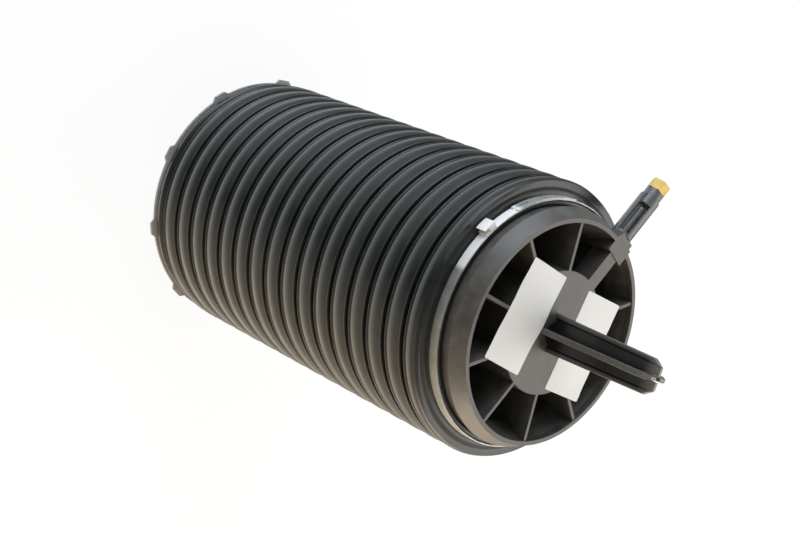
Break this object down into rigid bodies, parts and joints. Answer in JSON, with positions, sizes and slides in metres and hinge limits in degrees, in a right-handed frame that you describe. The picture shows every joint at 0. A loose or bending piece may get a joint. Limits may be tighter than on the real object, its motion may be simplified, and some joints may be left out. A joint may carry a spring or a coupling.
{
  "type": "air suspension spring",
  "caption": "Air spring with a ribbed cap, crossed locating post and side air port above a folded dust gaiter; piston, rolling sleeve and guide tube inside.",
  "frame": {"origin": "centre of the base plate's seat, at the mouth of the locating bush", "axes": "+Z along the spring's axis towards the locating post, -X along the air port"},
  "size_m": [0.1826, 0.1546, 0.3369],
  "materials": {
    "cap_plastic": "moulded glass-filled nylon with a soft sheen",
    "post_plastic": "moulded black nylon",
    "port_plastic": "moulded black nylon",
    "label_paper": "plain coated label stock",
    "union_brass": "turned brass",
    "valve_brass": "turned brass",
    "stainless": "rolled stainless strip",
    "seal_rubber": "moulded nitrile",
    "tube_aluminium": "drawn tube",
    "crimp_aluminium": "pressed ring",
    "sleeve_rubber": "calendered rubber with cord",
    "gaiter_rubber": "moulded rubber, satin",
    "bump_foam": "microcellular foam",
    "cup_steel": "pressed and zinc plated",
    "bush_steel": "turned and zinc plated",
    "base_plastic": "moulded glass-filled nylon",
    "piston_plastic": "moulded glass-filled nylon",
    "striker_plastic": "moulded acetal"
  },
  "bodies": {
    "lower": {"base_plate": "base_plastic", "locating_bush": "bush_steel", "base_seal_ring": "seal_rubber", "piston": "piston_plastic", "striker_plate": "striker_plastic", "sleeve_lower_crimp_ring": "crimp_aluminium", "gaiter": "gaiter_rubber"},
    "upper": {"top_cap": "cap_plastic", "locating_post": "post_plastic", "near_hub_label": "label_paper", "far_hub_label": "label_paper", "port_housing": "port_plastic", "union_nut": "union_brass", "tube_grip_ring": "stainless", "tube_seal_ring": "seal_rubber", "check_valve_body": "valve_brass", "check_valve_spring": "stainless", "guide_tube": "tube_aluminium", "air_sleeve": "sleeve_rubber", "sleeve_upper_crimp_ring": "crimp_aluminium", "bump_stop_cup": "cup_steel", "bump_stop": "bump_foam", "upper_gaiter_clamp": "stainless"},
    "valve": {"check_valve_poppet": "valve_brass", "poppet_seal": "seal_rubber"}
  },
  "joints": [
    {"name": "suspension_travel", "type": "slide", "parent": "lower", "child": "upper", "axis": [0, 0, 1], "range_m": [-0.07, 0.03], "stiffness_N_per_m": 18000, "deforming": ["gaiter", "air_sleeve", "bump_stop"]},
    {"name": "check_valve_lift", "type": "slide", "parent": "upper", "child": "valve", "axis": [1, 0, 0], "range_m": [0, 0.0012], "stiffness_N_per_m": 500, "deforming": ["check_valve_spring"]}
  ]
}
